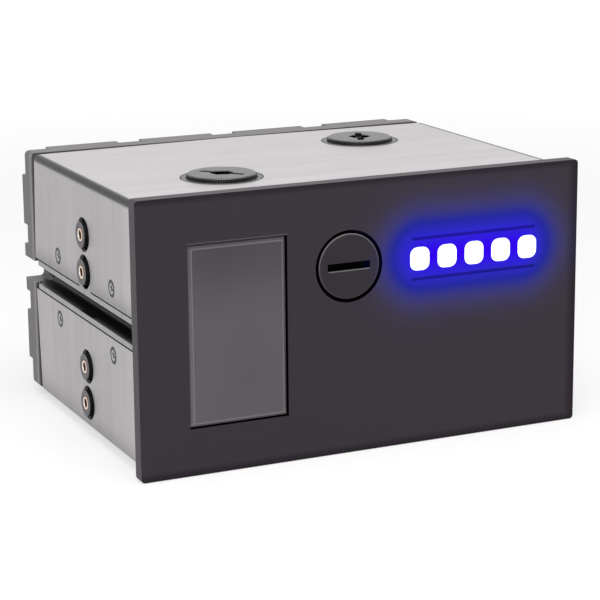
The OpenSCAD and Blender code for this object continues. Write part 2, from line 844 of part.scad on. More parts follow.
// The ring is scalloped where it passes the middle cover screws
module pump_clamp_ring() {
    color([0.6, 0.6, 0.62]) difference() {
        turned(0, pump_z, [
            [can_d / 2 + 0.2, cover_back], [clamp_r, cover_back], [clamp_r, cover_back + clamp_t - 0.8],
            [clamp_r - 0.8, cover_back + clamp_t], [can_d / 2 + 0.2, cover_back + clamp_t]
        ]);
        clamp_screw_spots() bar(0, pump_z, m3_free_r, cover_back - eps, cover_back + clamp_t + eps);
        for (spot = cover_screws_xz)
            bar(spot[0], mid_z + spot[1], notch_w / 2, cover_back - eps, cover_back + clamp_t + eps);
    }
}

module clamp_ring_screws() {
    color([0.75, 0.75, 0.77])
        clamp_screw_spots() cap_screw(0, pump_z, cover_back + clamp_t, clamp_t + 7);
}

// Thin stainless cup that keeps the coolant out of the motor, with the post for the bearing ball
module rotor_cup() {
    color([0.8, 0.8, 0.82]) difference() {
        turned(0, pump_z, [
            [0, ball_y], [post_r, ball_y], [post_r, cup_end - cup_wall], [cup_r - cup_wall, cup_end - cup_wall],
            [cup_r - cup_wall, flange_front], [cup_flange_r, flange_front],
            [cup_flange_r, flange_front + cup_flange_t], [cup_r, flange_front + cup_flange_t],
            [cup_r, cup_end], [0, cup_end]
        ]);
        translate([0, front_y + ball_y, pump_z]) sphere(ball_r);
    }
}

module bearing_ball() {
    color([0.95, 0.95, 0.93]) translate([0, front_y + ball_y, pump_z]) sphere(ball_r);
}

module rotor_bearing() {
    color([0.25, 0.25, 0.26]) difference() {
        bar(0, pump_z, bearing_r, ball_y - 3.5, ball_y - 0.2);
        translate([0, front_y + ball_y, pump_z]) sphere(ball_r + 0.05);
    }
}

// One backward-swept blade, as an arc between the eye and the rim
module blade() {
    difference() {
        intersection() {
            translate([blade_r, 0]) difference() {
                circle(blade_r + blade_t / 2);
                circle(blade_r - blade_t / 2);
            }
            circle(impeller_d / 2 - blade_inset);
            square(impeller_d);
        }
        circle(eye_r + blade_inset);
    }
}

module impeller() {
    color([0.9, 0.9, 0.88]) difference() {
        union() {
            bar(0, pump_z, impeller_d / 2, impeller_back - shroud_t, impeller_back);
            difference() {
                bar(0, pump_z, impeller_d / 2, blade_front - shroud_t, blade_front);
                bar(0, pump_z, eye_r, blade_front - shroud_t - eps, blade_front + eps);
            }
            between(blade_front - eps, impeller_back - shroud_t + eps) translate([0, pump_z])
                for (i = [0 : blade_count - 1]) rotate(i * 360 / blade_count) blade();
            turned(0, pump_z, [
                [0, blade_front + 1], [hub_r / 2, impeller_back - shroud_t], [hub_r, impeller_back - shroud_t],
                [hub_r, magnet_back], [0, magnet_back]
            ]);
        }
        bar(0, pump_z, bearing_r, ball_y - 3.5, magnet_back + eps);
    }
}

module rotor_magnet() {
    color([0.2, 0.2, 0.22]) turned(0, pump_z, [
        [hub_r + glue_gap, magnet_front], [magnet_r, magnet_front], [magnet_r, magnet_back - 2],
        [magnet_r - 2, magnet_back], [hub_r + glue_gap, magnet_back]
    ]);
}

// Laminated ring with one tooth for each coil
module stator_core() {
    color([0.55, 0.55, 0.57]) between(stator_front, stator_back) translate([0, pump_z]) {
        difference() {
            circle(stator_r);
            circle(stator_r - 2.2);
        }
        difference() {
            for (i = [0 : pole_count - 1]) rotate(i * 360 / pole_count)
                translate([0, -tooth_w / 2]) square([stator_r - 1, tooth_w]);
            circle(cup_r + 0.3);
        }
    }
}

module stator_windings() {
    coil_w = 2.4;
    coil_rise = 1.4;
    inner = cup_r + 1.2;
    coil_l = stator_r - 2.8 - inner;
    color([0.72, 0.4, 0.2]) for (i = [0 : pole_count - 1])
        translate([0, front_y, pump_z]) rotate([0, i * 360 / pole_count, 0]) difference() {
            translate([inner, stator_front - coil_rise, -tooth_w / 2 - coil_w])
                cube([coil_l, stator_back - stator_front + 2 * coil_rise, tooth_w + 2 * coil_w]);
            translate([inner - 1, stator_front, -tooth_w / 2])
                cube([coil_l + 2, stator_back - stator_front, tooth_w]);
        }
}

module driver_board() {
    color([0.05, 0.28, 0.15]) {
        bar(0, pump_z, driver_r, driver_y, driver_y + driver_t);
        for (spot = [[-12, 8, 7, 5], [-9, -6, 5, 5], [14, 2, 4, 3], [6, 15, 3, 5]])
            between(driver_y - 1.4, driver_y + eps) plate(spot[0], pump_z + spot[1], spot[2], spot[3]);
    }
}

module driver_capacitors() {
    color([0.3, 0.3, 0.35]) for (side = [-1, 1])
        bar(side * 9, pump_z - 16, 3.2, driver_y - 6, driver_y);
}

module speed_pot() {
    pot_w = 10;
    color([0.15, 0.25, 0.6]) difference() {
        between(driver_y + driver_t, driver_y + driver_t + 4)
            plate(0, pump_z - dial_drop, pot_w, pot_w);
        bar(0, pump_z - dial_drop, 1.55, driver_y + driver_t + 1, driver_y + driver_t + 5);
    }
}

// The speed setting: a slotted disc in the back of the can, on a stem that turns the potentiometer
module speed_dial() {
    stem_end = driver_y + driver_t + 1.2;
    color([0.85, 0.2, 0.15]) difference() {
        union() {
            bar(0, pump_z - dial_drop, dial_r, can_back - can_wall + 0.2, can_back + 0.6);
            bar(0, pump_z - dial_drop, 1.5, stem_end, can_back);
        }
        between(can_back - 0.6, can_back + 1) plate(0, pump_z - dial_drop, 6, 1);
        between(can_back - 0.6, can_back + 1)
            translate([0, pump_z - dial_drop + 2.4]) circle(0.6, $fn = 24);
    }
}

// The gland that the pump's lead comes out of, with an open hole for the lead
module cable_gland() {
    color([0.08, 0.08, 0.08]) difference() {
        union() {
            bar(gland_x, pump_z + gland_rise, gland_thread_r, can_back - can_wall - 2, can_back + eps);
            between(can_back, can_back + 2.4) translate([gland_x, pump_z + gland_rise])
                circle(r = 6.4, $fn = 6);
            turned(gland_x, pump_z + gland_rise, [
                [0, can_back + 2], [5, can_back + 2], [5, can_back + 3.6], [3.8, can_back + gland_l],
                [0, can_back + gland_l]
            ]);
        }
        bar(gland_x, pump_z + gland_rise, cable_hole_r, can_back - 6, can_back + gland_l + 1);
    }
}

module gland_nut() {
    nut_t = 1.8;
    color([0.08, 0.08, 0.08]) between(can_back - can_wall - nut_t, can_back - can_wall) difference() {
        translate([gland_x, pump_z + gland_rise]) circle(r = 6.2, $fn = 6);
        translate([gland_x, pump_z + gland_rise]) circle(gland_thread_r + 0.03);
    }
}

// ---------------------------------------------------------------- nodes

front_bezel();
window_pane();
window_gasket();
light_guide();
led_board();
led_chips();
led_header();
led_board_screws();
fill_cap();
fill_cap_seal();
bezel_screws();
upper_shell();
lower_shell();
shell_screws(-1);  // shell_screws_left
shell_screws(1);  // shell_screws_right
mount_grommets(-1);  // mount_grommets_left
mount_grommets(1);  // mount_grommets_right
mount_inserts(-1);  // mount_inserts_left
mount_inserts(1);  // mount_inserts_right
tank_body();
port_plug(left_port);  // port_plug_left
port_plug(right_port);  // port_plug_right
port_seal(left_port);  // port_seal_left
port_seal(right_port);  // port_seal_right
rear_cover();
cover_gasket();
cover_screws();
inlet_baffle();
pump_seal();
pump_housing();
pump_clamp_ring();
clamp_ring_screws();
rotor_cup();
bearing_ball();
rotor_bearing();
impeller();
rotor_magnet();
stator_core();
stator_windings();
driver_board();
driver_capacitors();
speed_pot();
speed_dial();
cable_gland();
gland_nut();
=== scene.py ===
"""Looks for the twin-bay coolant reservoir: finishes, soft edges, threads, knurls, studio and camera."""

import json
import math

import bmesh
import bpy
from mathutils import Euler, Matrix, Vector

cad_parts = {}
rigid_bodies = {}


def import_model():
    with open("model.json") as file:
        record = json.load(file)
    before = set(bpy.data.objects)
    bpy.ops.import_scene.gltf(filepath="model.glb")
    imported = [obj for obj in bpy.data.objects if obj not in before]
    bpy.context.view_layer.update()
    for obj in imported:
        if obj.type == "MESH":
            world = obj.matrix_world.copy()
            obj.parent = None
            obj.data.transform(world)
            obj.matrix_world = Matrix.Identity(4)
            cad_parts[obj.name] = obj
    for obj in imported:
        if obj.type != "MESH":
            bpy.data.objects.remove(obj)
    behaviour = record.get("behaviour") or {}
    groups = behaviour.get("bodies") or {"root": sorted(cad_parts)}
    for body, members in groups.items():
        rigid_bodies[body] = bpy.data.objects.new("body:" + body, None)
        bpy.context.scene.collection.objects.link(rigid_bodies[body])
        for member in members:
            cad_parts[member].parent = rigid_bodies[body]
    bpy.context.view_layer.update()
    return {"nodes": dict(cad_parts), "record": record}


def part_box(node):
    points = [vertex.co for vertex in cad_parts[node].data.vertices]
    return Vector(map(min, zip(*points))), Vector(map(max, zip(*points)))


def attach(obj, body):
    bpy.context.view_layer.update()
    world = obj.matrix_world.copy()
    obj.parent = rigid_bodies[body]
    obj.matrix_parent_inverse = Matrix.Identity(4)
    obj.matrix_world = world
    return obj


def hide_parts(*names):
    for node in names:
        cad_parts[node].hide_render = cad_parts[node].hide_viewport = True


MM = 0.001
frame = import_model()


def middle(node):
    """The middle of a CAD node's box."""
    low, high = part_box(node)
    return (low + high) / 2


# Sizes and places in millimetres, as in the CAD. Depth runs back from the bezel's face.
BEZEL_T = 4.8
COVER_DEPTH = 102.9
PORT_DEPTH = 105.6
PORT_X = 52
PORT_RISE = 16.5
MOUNT_DEPTH = 52.2
MOUNT_FACE_X = 72.75
CAP_R = 10.1
CAP_HOLE_R = 11.15
PLUG_R = 10.75
COLLAR_R = 12.6
WINDOW_HALF = (16.0, 27.85)
PANE_GAP = 0.3
PANE_BEVEL = 1.3
PIPE_R = 6.45
PIPE_CORE_R = 5.9
PIPE_PITCH = 1.337
PIPE_RIDGE = 0.5
INSERT_CORE_R = 1.25
INSERT_OPEN_R = 1.45
SEGMENT_PITCH = 9.45
CHANNEL_HALF_H = 3.1
LIP_OUTER = 4.75
NUMERAL_RING_R = 7.6
# The colour that painted shade and painted dark reflections are painted in.
DEEP_BLACK = (0.0012, 0.001, 0.0012)
WHITE = (1, 1, 1)
LAMP_AIM = (0, 0, 0.04)

bezel_low, bezel_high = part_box("front_bezel")
shell_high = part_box("upper_shell")[1]
under_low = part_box("lower_shell")[0]
can_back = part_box("pump_housing")[1].y / MM
front = bezel_low.y / MM
bezel_half_w = bezel_high.x / MM
bezel_top = bezel_high.z / MM
half_w = shell_high.x / MM
top = shell_high.z / MM
mid_z = (shell_high.z + under_low.z) / 2 / MM
half_h = top - mid_z
cover_front = front + COVER_DEPTH
light = middle("light_guide") / MM
cap = middle("fill_cap") / MM
cap_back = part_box("fill_cap")[1].y / MM
window = middle("window_pane") / MM
pump = middle("pump_clamp_ring") / MM
dial = middle("speed_dial") / MM
plugs = {side: middle("port_plug_" + side) / MM for side in ("left", "right")}
plug_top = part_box("port_plug_left")[1].z / MM
ports = [Vector((x, 0, mid_z + PORT_RISE)) for x in (-PORT_X, PORT_X)]


# ------------------------------------------------------------------ solids


def merged(node):
    """A copy of a CAD node as a mesh whose flat faces are single polygons."""
    bm = bmesh.new()
    bm.from_mesh(frame["nodes"][node].data)
    bmesh.ops.remove_doubles(bm, verts=bm.verts, dist=1e-6)
    bmesh.ops.dissolve_limit(bm, angle_limit=math.radians(0.5), verts=bm.verts, edges=bm.edges,
                             delimit=set())
    return bm


def islands(node):
    """The middles, in millimetres, of the separate solids in a CAD node."""
    bm = merged(node)
    left = set(bm.verts)
    places = []
    while left:
        grown = [left.pop()]
        spots = []
        while grown:
            vert = grown.pop()
            spots.append(vert.co / MM)
            near = {e.other_vert(vert) for e in vert.link_edges} & left
            left -= near
            grown += near
        low, high = (Vector(pick(s[i] for s in spots) for i in range(3)) for pick in (min, max))
        places.append((low + high) / 2)
    bm.free()
    return sorted(places, key=lambda p: (round(p.z, 2), round(p.x, 2), round(p.y, 2)))


# ------------------------------------------------------------------ finishes


class Field:
    """A number that varies over a surface. Arithmetic on it adds Math nodes."""

    def __init__(self, finish, socket):
        self.finish = finish
        self.socket = socket

    def math(self, operation, *others):
        return self.finish.math(operation, self, *others)

    def __add__(self, other):
        return self.math("ADD", other)

    def __sub__(self, other):
        return self.math("SUBTRACT", other)

    def __rsub__(self, other):
        return self.finish.math("SUBTRACT", other, self)

    def __mul__(self, other):
        return self.math("MULTIPLY", other)

    def __truediv__(self, other):
        return self.math("DIVIDE", other)

    def __abs__(self):
        return self.math("ABSOLUTE")

    def __pow__(self, other):
        return self.math("POWER", other)

    __radd__ = __add__
    __rmul__ = __mul__

    def above(self, other):
        return self.math("MAXIMUM", other)

    def below(self, other):
        return self.math("MINIMUM", other)

    def rise(self, low, high):
        """0 under low and 1 over high, with a smooth step between them."""
        sockets = {"Value": self, "From Min": low, "From Max": high}
        made = self.finish.node("ShaderNodeMapRange", {"interpolation_type": "SMOOTHSTEP"}, sockets)
        return Field(self.finish, made.outputs["Result"])

    def fall(self, low, high):
        """1 under low and 0 over high."""
        return 1 - self.rise(low, high)

    def fade(self, reach):
        """1 at 0, falling off as a bell that is reach wide."""
        return self.finish.math("EXPONENT", (self / reach) * (self / reach) * -1)


class Nodes:
    """A node tree whose nodes all come from one method."""

    def __init__(self, tree):
        self.tree = tree
        self.tree.nodes.clear()

    def node(self, kind, settings=None, sockets=None):
        """A new node. Its settings go first, then the values and links of its sockets."""
        made = self.tree.nodes.new(kind)
        for name, value in (settings or {}).items():
            setattr(made, name, value)
        for key, value in (sockets or {}).items():
            self.feed(made.inputs[key], value)
        return made

    def feed(self, socket, value):
        if isinstance(value, Field):
            value = value.socket
        if isinstance(value, bpy.types.NodeSocket):
            self.tree.links.new(value, socket)
        elif socket.type == "RGBA":
            socket.default_value = (*value[:3], 1)
        else:
            socket.default_value = value

    def out(self, kind, settings=None, sockets=None):
        """The first output of a new node."""
        return self.node(kind, settings, sockets).outputs[0]

    def math(self, operation, *values):
        return Field(self, self.out("ShaderNodeMath", {"operation": operation}, dict(enumerate(values))))


class Finish(Nodes):
    """One material, its nodes, and the surface point in millimetres."""

    def __init__(self, name):
        self.material = bpy.data.materials.new(name)
        self.material.use_nodes = True
        super().__init__(self.material.node_tree)
        self.point = self.node("ShaderNodeTexCoord").outputs["Object"]
        parts = self.node("ShaderNodeSeparateXYZ", {}, {0: self.point})
        self.x, self.y, self.z = (Field(self, parts.outputs[i]) / MM for i in range(3))
        self.depth = self.y - front
        self.height = self.z - mid_z

    def noise(self, grain, stretch=(1, 1, 1), detail=2, rough=0.5):
        """Noise from 0 to 1, with blotches grain millimetres across, times stretch along each axis."""
        scale = [1 / (grain * MM * s) for s in stretch]
        mapped = self.node("ShaderNodeMapping", {}, {"Vector": self.point, "Scale": scale})
        sockets = {"Vector": mapped.outputs[0], "Scale": 1, "Detail": detail, "Roughness": rough}
        return Field(self, self.node("ShaderNodeTexNoise", {}, sockets).outputs[0])

    def cells(self, grain, feature="F1"):
        """Distance inside a field of cells that are grain millimetres across."""
        sockets = {"Vector": self.point, "Scale": 1 / (grain * MM)}
        made = self.node("ShaderNodeTexVoronoi", {"feature": feature}, sockets)
        return Field(self, made.outputs["Distance"])

    def blend(self, share, first, second):
        sockets = {0: share, 6: first, 7: second}
        return self.node("ShaderNodeMix", {"data_type": "RGBA"}, sockets).outputs[2]

    def tinted(self, share, colour):
        """A colour scaled by a share that varies."""
        return self.blend(share, (0, 0, 0), colour)

    def apart(self, first, second):
        """The length of a vector given by two numbers."""
        return (first * first + second * second) ** 0.5

    def nearest(self, places):
        """Distance, seen from the side, to the nearest of some places."""
        near = [self.apart(self.y - place.y, self.z - place.z) for place in places]
        least = near[0]
        for other in near[1:]:
            least = least.below(other)
        return least

    def added(self, first, second):
        """The sum of two colours."""
        return self.out("ShaderNodeVectorMath", {"operation": "ADD"}, {0: first, 1: second})

    def bump(self, height, depth, strength=1.0):
        sockets = {"Height": height, "Distance": depth * MM, "Strength": strength}
        return self.node("ShaderNodeBump", {}, sockets).outputs[0]

    def skin(self, painted_black=None, **sockets):
        """Ends the material in a Principled shader. Socket names have underscores for spaces.

        Where hollow is 1, the point is painted black with no sheen: this is painted shade in gaps and
        recesses, and painted dark reflections on bends and rims."""
        named = {key.replace("_", " "): value for key, value in sockets.items()}
        if painted_black is not None:
            named["Base Color"] = self.blend(painted_black, named["Base Color"], DEEP_BLACK)
            metal = named.get("Metallic", 0)
            named["Metallic"] = (painted_black * (1 - metal) + metal).below(1)
        shader = self.node("ShaderNodeBsdfPrincipled", {}, named)
        self.node("ShaderNodeOutputMaterial", {}, {0: shader.outputs[0]})
        return self.material


def shaded(colour, factor):
    return tuple(c * factor for c in colour)


def moulded(name, colour, roughness, grain=0.25, depth=0.012, mottle=0.12):
    """Moulded plastic: a fine spark-eroded texture over faint broad mottling."""
    f = Finish(name)
    broad = f.noise(14, detail=3)
    fine = f.noise(grain, detail=2)
    colours = f.blend(broad, shaded(colour, 1 - mottle), shaded(colour, 1 + mottle))
    rough = roughness + (fine - 0.5) * 0.12
    return f.skin(Base_Color=colours, Roughness=rough, Normal=f.bump(fine, depth, 0.6))


def turned_metal(name, colour, roughness, centre, pitch=0.35):
    """Metal turned on a lathe, with rings about a centre line along the depth."""
    f = Finish(name)
    radius = f.apart(f.x - centre.x, f.z - centre.z)
    rings = f.math("SINE", radius * (math.tau / pitch)) * 0.5 + 0.5
    patches = f.noise(6)
    colours = f.blend(patches, shaded(colour, 0.9), shaded(colour, 1.06))
    rough = roughness + rings * 0.1 + patches * 0.06
    return f.skin(Base_Color=colours, Metallic=0.9, Roughness=rough, Normal=f.bump(rings, 0.01, 0.5))


def plated(name, colour, roughness, blotch=1.2):
    """Plated or blackened steel with small tonal blotches and fine scratches."""
    f = Finish(name)
    blotches = f.noise(blotch, detail=3)
    scratches = f.noise(0.12, (6, 6, 1))
    colours = f.blend(blotches, shaded(colour, 0.82), shaded(colour, 1.15))
    rough = roughness + (scratches - 0.5) * 0.2
    return f.skin(Base_Color=colours, Metallic=0.9, Roughness=rough, Normal=f.bump(scratches, 0.006, 0.5))


def halo(f):
    """Strength of the light's glow, painted on as emission, at a point, by its distance from the lit row."""
    across = (abs(f.x - light.x + 1) - 17).above(0)
    return f.apart(across, f.z - light.z - 0.8).fade(10.3)


def bezel_black():
    """Satin black anodised plate, with the light's blue glow painted over it as emission, painted shade
    along its right, top and lower rims and on the walls of its openings, and a painted highlight along the
    window's top edge.
    """
    f = Finish("bezel_black")
    grain = f.noise(0.22, (3, 1, 1))
    broad = f.noise(30)
    glow = halo(f)
    in_groove = f.depth.rise(0.08, 0.35) * f.depth.fall(0.9, 1.2) * 0.5
    on_face = f.depth.fall(0.2, 0.45)
    # Painted shade along the right, top and lower rims of the face.
    rim_right = f.x.rise(bezel_half_w - 4.5, bezel_half_w - 0.2)
    rim_top = f.z.rise(bezel_top - 2.6, bezel_top - 0.5)
    rim_low = (f.z * -1).rise(-3.2, -0.2)
    rim = rim_right.above(rim_top * 0.8).above(rim_low) * on_face * 0.5
    # The walls of the window and of the cap's hole are painted black as shade.
    beside, over = abs(f.x - window.x), abs(f.z - window.z)
    in_window = (beside - WINDOW_HALF[0]).above(over - WINDOW_HALF[1]).fall(0.02, 0.12)
    in_cap = f.apart(f.x - cap.x, f.z - cap.z).fall(CAP_HOLE_R + 0.05, CAP_HOLE_R + 0.2)
    wall = in_window.above(in_cap) * f.depth.rise(0.03, 0.2)
    # A painted highlight along the top edge of the window's opening.
    lit_edge = (f.z - window.z - WINDOW_HALF[1] - 0.2).fade(0.16) * beside.fall(15.9, 16.1) * on_face
    colours = f.blend(broad, (0.0145, 0.0072, 0.0155), (0.0195, 0.0105, 0.0205))
    colours = f.blend(lit_edge * 0.8, colours, (0.11, 0.1, 0.11))
    # The light's glow is painted on as emission. It is weaker in the grooves and left off the walls of the
    # openings, and under it the plate is painted black so that only the glow shows.
    lift = f.added(f.tinted(glow, (0.03, 0, 0.85)), f.tinted(glow * (1 - glow) * 4, (0.006, 0.022, 0.02)))
    lit = f.tinted((1 - in_groove) * (1 - wall), lift)
    return f.skin(painted_black=glow.rise(0.04, 0.42).above(rim).above(wall), Base_Color=colours,
                  Roughness=0.4 + grain * 0.1, Specular_IOR_Level=0.37, Emission_Color=lit,
                  Emission_Strength=1.0, Normal=f.bump(grain, 0.006, 0.5))


def smoked_acrylic():
    """Smoked acrylic with a faint haze inside, darker towards the top, and a bevel round its border painted
    lighter, with painted highlights along its crease and outer edge, painted light on the lower bevel and
    painted shade in the gap round the pane.
    """
    f = Finish("smoked_acrylic")
    haze = f.noise(26, (1, 1, 1.6), detail=1)
    across = abs(f.x - window.x) - (WINDOW_HALF[0] - PANE_GAP - PANE_BEVEL)
    up = abs(f.z - window.z) - (WINDOW_HALF[1] - PANE_GAP - PANE_BEVEL)
    inset = across.above(up)
    # Painted highlights on the bevel, its crease and its outer edge, and painted light on the lower bevel.
    bevel = inset.rise(0.02, 0.12)
    crease = (inset - 0.05).fade(0.13)
    edge = (inset - PANE_BEVEL).fade(0.16)
    low = (f.z - window.z).fall(-27, -25.5)
    high = (f.z - window.z).rise(2, 27)
    # The pane is darker towards the top.
    share = (haze * 0.5 + 0.55 - high * 0.75).above(0)
    colours = f.blend(share, (0.044, 0.037, 0.045), (0.108, 0.093, 0.111))
    colours = f.blend(bevel * 0.35, colours, (0.16, 0.145, 0.16))
    colours = f.blend(bevel * low * 0.55, colours, (0.27, 0.2, 0.225))
    colours = f.blend((crease + edge * 0.7).below(1) * 0.6, colours, (0.26, 0.24, 0.26))
    # The gap round the pane is painted black as shade.
    painted_black = inset.rise(PANE_BEVEL + 0.02, PANE_BEVEL + 0.12)
    return f.skin(painted_black=painted_black, Base_Color=colours, Roughness=0.18 + haze * 0.04, IOR=1.49)


def light_diffuser():
    """Milky light guide. Each lit segment is white in the middle and bluer at its rim."""
    f = Finish("light_diffuser")
    folded = (f.x - light.x + 2.5 * SEGMENT_PITCH).math("PINGPONG", SEGMENT_PITCH / 2)
    along = abs(folded - SEGMENT_PITCH / 2)
    rim = (along / 3.3).above(abs(f.z - light.z) / 3.6).rise(0.82, 1.02)
    lit = f.depth.fall(2.6, 3.2)
    glow = f.blend(rim, (1.3, 1.3, 1.4), (0.62, 0.75, 1.4))
    return f.skin(Base_Color=(0.9, 0.92, 1.0), Roughness=0.3 + f.noise(0.8) * 0.1,
                  Emission_Color=f.blend(lit, (0.03, 0.04, 0.4), glow), Emission_Strength=1.0)


def brushed(f):
    """Fine scratches, and the share of the lighter tone, in a sheet brushed across the depth."""
    fine = f.noise(0.2, (60, 1, 60), detail=3)
    lines = f.noise(0.9, (30, 1, 30), detail=2).rise(0.36, 0.64)
    bands = f.noise(5.5, (9, 1, 9), detail=2).rise(0.34, 0.66)
    return fine, fine * 0.5 + lines * 0.22 + bands * 0.28


def brushed_shell():
    """Brushed sheet metal, with a painted dark reflection along the top bends, painted shade low on the
    sides, painted shadow lines along the channel and round the collars, lighter towards the bezel as painted
    light, and a painted highlight along the front edge.
    """
    f = Finish("brushed_shell")
    fine, tone = brushed(f)
    clouds = f.noise(38, detail=1)
    bend = 2.7  # how far in from the corner the painted dark reflection reaches
    side = ((abs(f.x) - (half_w - bend)) / bend).above(0)
    upper = ((f.height - (half_h - bend)) / bend).above(0)
    # A painted dark reflection along the top bends.
    painted_bend_reflection = (side * upper * 2.4).rise(0.05, 1.25)
    # Painted shadow lines along the edges of the channel and round the plugs' collars.
    seam = abs(f.height).fall(LIP_OUTER + 0.42, LIP_OUTER + 0.6)
    for plug in plugs.values():
        ring = f.apart(f.x - plug.x, f.y - plug.y)
        seam = seam.above((ring - COLLAR_R - 0.1).fade(0.3) * f.z.rise(top - 2, top - 1.5))
    # Painted shade low on the sides, above the channel and along the bottom.
    shaded_low = (f.height - LIP_OUTER).fade(4) * f.height.rise(0, 0.5) + (f.height + half_h).fade(4.5)
    shaded_low = shaded_low * abs(f.x).rise(half_w - 0.3, half_w - 0.1)
    # Painted light: lighter towards the bezel, with a painted highlight along the front edge.
    near_front = (f.depth - BEZEL_T).fade(11)
    lip_light = (f.depth - BEZEL_T).fall(0.2, 0.45)
    metal = f.blend(tone * 0.8 + clouds * 0.2, (0.41, 0.388, 0.402), (0.57, 0.545, 0.562))
    metal = f.blend(near_front * 0.45, metal, (0.7, 0.68, 0.7))
    metal = f.blend(lip_light * 0.7, metal, (0.9, 0.89, 0.9))
    return f.skin(painted_black=(painted_bend_reflection * 0.93).above(seam).above(shaded_low * 0.42), Base_Color=metal,
                  Metallic=0.4, Roughness=0.34 + fine * 0.12, Normal=f.bump(fine, 0.01, 0.35))


def tank_black():
    """Black machined acetal, painted black as shade in its channel, seams, bores, neck, rear end and beside
    the mounts, and lighter towards the outer edge of its lips as painted light. Its lips are brushed like
    the shells, and the light that leaks past the cap is painted on as a blue glow.
    """
    f = Finish("tank_black")
    cutter = f.noise(0.3, (1, 12, 1), detail=2)
    fine, tone = brushed(f)
    flush = abs(f.x).rise(half_w - 0.3, half_w - 0.12)
    # Lighter towards the outer edge of the lips, as painted light.
    lip_top = abs(f.x).rise(half_w - 3.2, half_w - 0.2)
    collar = f.z.rise(top - 0.12, top - 0.04)
    # Painted shade in the channel, the seams, at the rear end, beside the mounts, in the bores and in the
    # neck.
    in_channel = abs(f.height).fall(LIP_OUTER - 0.05, LIP_OUTER + 0.05) * (1 - lip_top * 0.8)
    in_seam = abs(f.height).rise(LIP_OUTER - 0.05, LIP_OUTER) * abs(f.x).rise(half_w - 1.6, half_w - 1.5)
    at_end = f.depth.rise(98.6, 98.9)
    at_sides = abs(f.x).rise(half_w - 5, half_w - 4.8) * abs(f.depth - MOUNT_DEPTH).fall(6, 6.4)
    in_bore = f.z.fall(top - 0.15, top - 0.1) * f.z.rise(top - 6, top - 5)
    in_neck = f.depth.fall(5, 6)
    painted_black = in_channel.above(in_seam).above(at_end).above(at_sides).above(in_bore).above(in_neck) * 0.96
    colours = f.blend(cutter, (0.012, 0.011, 0.012), (0.02, 0.018, 0.02))
    colours = f.blend(lip_top * 0.5, colours, (0.2, 0.19, 0.2))
    colours = f.blend(collar, colours, (0.1, 0.095, 0.1))
    colours = f.blend(flush, colours, f.blend(tone, (0.33, 0.315, 0.325), (0.46, 0.445, 0.455)))
    # The light leaking past the cap, painted on as a blue glow.
    leak = f.apart((f.x - (cap.x + CAP_R + 0.5)) * 1.6, f.z - cap.z).fade(6.5) * in_neck
    return f.skin(painted_black=painted_black * (1 - flush) * (1 - collar), Base_Color=colours, Metallic=flush * 0.4,
                  Roughness=0.36 + cutter * 0.1, Emission_Color=f.tinted(leak, (0.004, 0, 0.16)),
                  Emission_Strength=1.0, Normal=f.bump(cutter * (1 - flush) + fine * flush, 0.012, 0.4))


def cap_black():
    """Satin black cap with the fine rings of a facing cut, a painted highlight on its chamfer and on the
    lower lip of its deep coin slot, painted shade in the slot and on its sides in the hole, and the light's
    glow painted on.
    """
    f = Finish("cap_black")
    radius = f.apart(f.x - cap.x, f.z - cap.z)
    rings = f.math("SINE", radius * (math.tau / 0.4)) * 0.5 + 0.5
    broad = f.noise(9)
    glow = halo(f)
    face = f.depth.fall(0.32, 0.42)
    head = f.depth.fall(3.2, 3.4)
    # A painted highlight on the chamfer, brighter towards the top.
    chamfer = (radius - CAP_R + 0.18).fade(0.2) * (0.55 + (f.z - cap.z) * 0.045)
    up = f.z - cap.z
    # A painted highlight along the lower lip of the coin slot.
    slot_lip = (up + 1.28).fade(0.16) * abs(f.x - cap.x).fall(6.6, 7.1) * face
    colours = f.blend(broad, (0.0085, 0.0045, 0.009), (0.013, 0.0075, 0.0135))
    colours = f.blend(chamfer.above(0).below(1), colours, (0.16, 0.15, 0.16))
    colours = f.blend(slot_lip * 0.75, colours, (0.2, 0.19, 0.2))
    # The light's glow, painted on as emission.
    glint = f.tinted((glow * 1.1 - 0.02).above(0), (0.0, 0.002, 0.3))
    # Below its face the cap is painted black as shade, and under the glow it is painted black so that only
    # the glow shows.
    return f.skin(painted_black=(head * (1 - face)).above(glow.rise(0.15, 0.5)), Base_Color=colours,
                  Roughness=0.42 + rings * 0.06, Specular_IOR_Level=0.34, Emission_Color=glint,
                  Emission_Strength=1.0, Normal=f.bump(rings, 0.006, 0.4))


def plug_grey():
    """Satin plug with a lighter face; below the face its knurled rim, coin slot and hexagon are painted
    black as shade.
    """
    f = Finish("plug_grey")
    fine = f.noise(0.3)
    broad = f.noise(7, detail=1)
    shade = f.blend(broad, (0.045, 0.042, 0.045), (0.1, 0.095, 0.1))
    # Below the face the plug is painted black as shade.
    below_face = f.z.fall(plug_top - 0.42, plug_top - 0.24) * f.z.rise(top - 1.1, top - 0.9)
    return f.skin(painted_black=below_face * 0.95, Base_Color=shade, Roughness=0.3 + fine * 0.08,
                  Normal=f.bump(fine, 0.01, 0.5))


